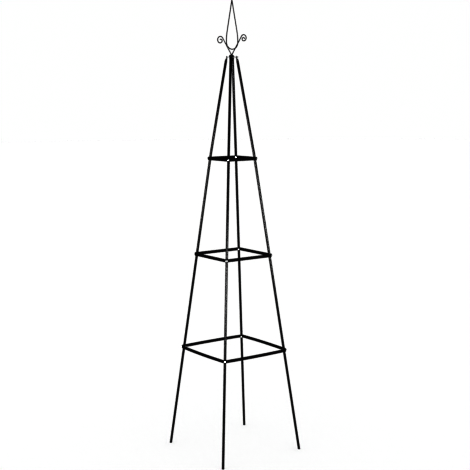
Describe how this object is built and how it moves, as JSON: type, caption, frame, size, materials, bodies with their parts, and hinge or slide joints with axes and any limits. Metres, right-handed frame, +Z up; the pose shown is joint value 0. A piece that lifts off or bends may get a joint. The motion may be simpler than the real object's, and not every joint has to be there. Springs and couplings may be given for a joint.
{
  "type": "garden obelisk",
  "caption": "Tall square garden obelisk for climbing plants: leaning tube legs, square tiers of flat bar and a wire finial with a pointed loop and scrolls.",
  "frame": {"origin": "on the ground, in the middle of the four feet, under the finial", "axes": "+Z up along the obelisk's axis, +X and +Y square to the tiers' sides, the finial's loop and scrolls lie along X"},
  "size_m": [0.4104, 0.4104, 1.9],
  "materials": {
    "black_powder_coat": "satin black powder coat",
    "zinc": "bright zinc plate",
    "blackened_steel": "satin black"
  },
  "bodies": {
    "root": {"finial_loop": "black_powder_coat", "finial_scroll_left": "black_powder_coat", "finial_scroll_right": "black_powder_coat", "finial_stem": "black_powder_coat", "leg_lower_front_left": "black_powder_coat", "leg_lower_front_right": "black_powder_coat", "leg_lower_rear_left": "black_powder_coat", "leg_lower_rear_right": "black_powder_coat", "leg_upper_front_left": "black_powder_coat", "leg_upper_front_right": "black_powder_coat", "leg_upper_rear_left": "black_powder_coat", "leg_upper_rear_right": "black_powder_coat", "tier_lower": "black_powder_coat", "tier_lower_nuts": "zinc", "tier_lower_screws": "zinc", "tier_middle": "black_powder_coat", "tier_middle_nuts": "zinc", "tier_middle_screws": "zinc", "tier_upper": "black_powder_coat", "tier_upper_nuts": "zinc", "tier_upper_screws": "zinc", "top_bolt_lower": "zinc", "top_bolt_upper": "blackened_steel", "top_nut_lower": "zinc", "top_nut_upper": "blackened_steel"}
  },
  "joints": []
}
